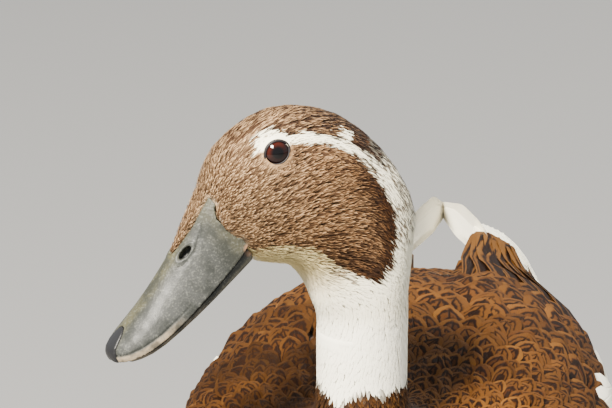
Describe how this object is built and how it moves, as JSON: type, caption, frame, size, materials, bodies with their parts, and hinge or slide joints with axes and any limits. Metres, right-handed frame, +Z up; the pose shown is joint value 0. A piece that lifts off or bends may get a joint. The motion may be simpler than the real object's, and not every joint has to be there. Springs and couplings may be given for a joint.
{
  "type": "duck",
  "caption": "Life-size still duck of the runner kind, fawn and white with a slate bill, standing on webbed feet with its head turned to its right and bowed.",
  "frame": {"origin": "middle of the bounding box, on the floor under the duck", "axes": "+Z up, -Y the way the body faces, +X the duck's left side, Y the longest extent"},
  "size_m": [0.1752, 0.4113, 0.32],
  "materials": {
    "head_feathers": "soft, short, streaked feathers",
    "white_feathers": "soft, close, off-white feathers",
    "brown_feathers": "laced brown feathers with paler edges",
    "bill": "smooth, half matt, finely pitted skin over horn",
    "bill_nail": "smooth black horn",
    "eye": "wet, clear and dark brown",
    "leg_skin": "scaly, half matt orange skin"
  },
  "bodies": {
    "root": {"head": "head_feathers", "neck": "white_feathers", "trunk": "brown_feathers", "tail": "brown_feathers", "wing_left": "brown_feathers", "wing_right": "brown_feathers", "primaries_left": "white_feathers", "primaries_right": "white_feathers", "thigh_left": "white_feathers", "thigh_right": "white_feathers", "bill_upper": "bill", "bill_lower": "bill", "bill_nail": "bill_nail", "eye_left": "eye", "eye_right": "eye", "shank_left": "leg_skin", "shank_right": "leg_skin", "foot_left": "leg_skin", "foot_right": "leg_skin", "hind_toe_left": "leg_skin", "hind_toe_right": "leg_skin"}
  },
  "joints": []
}
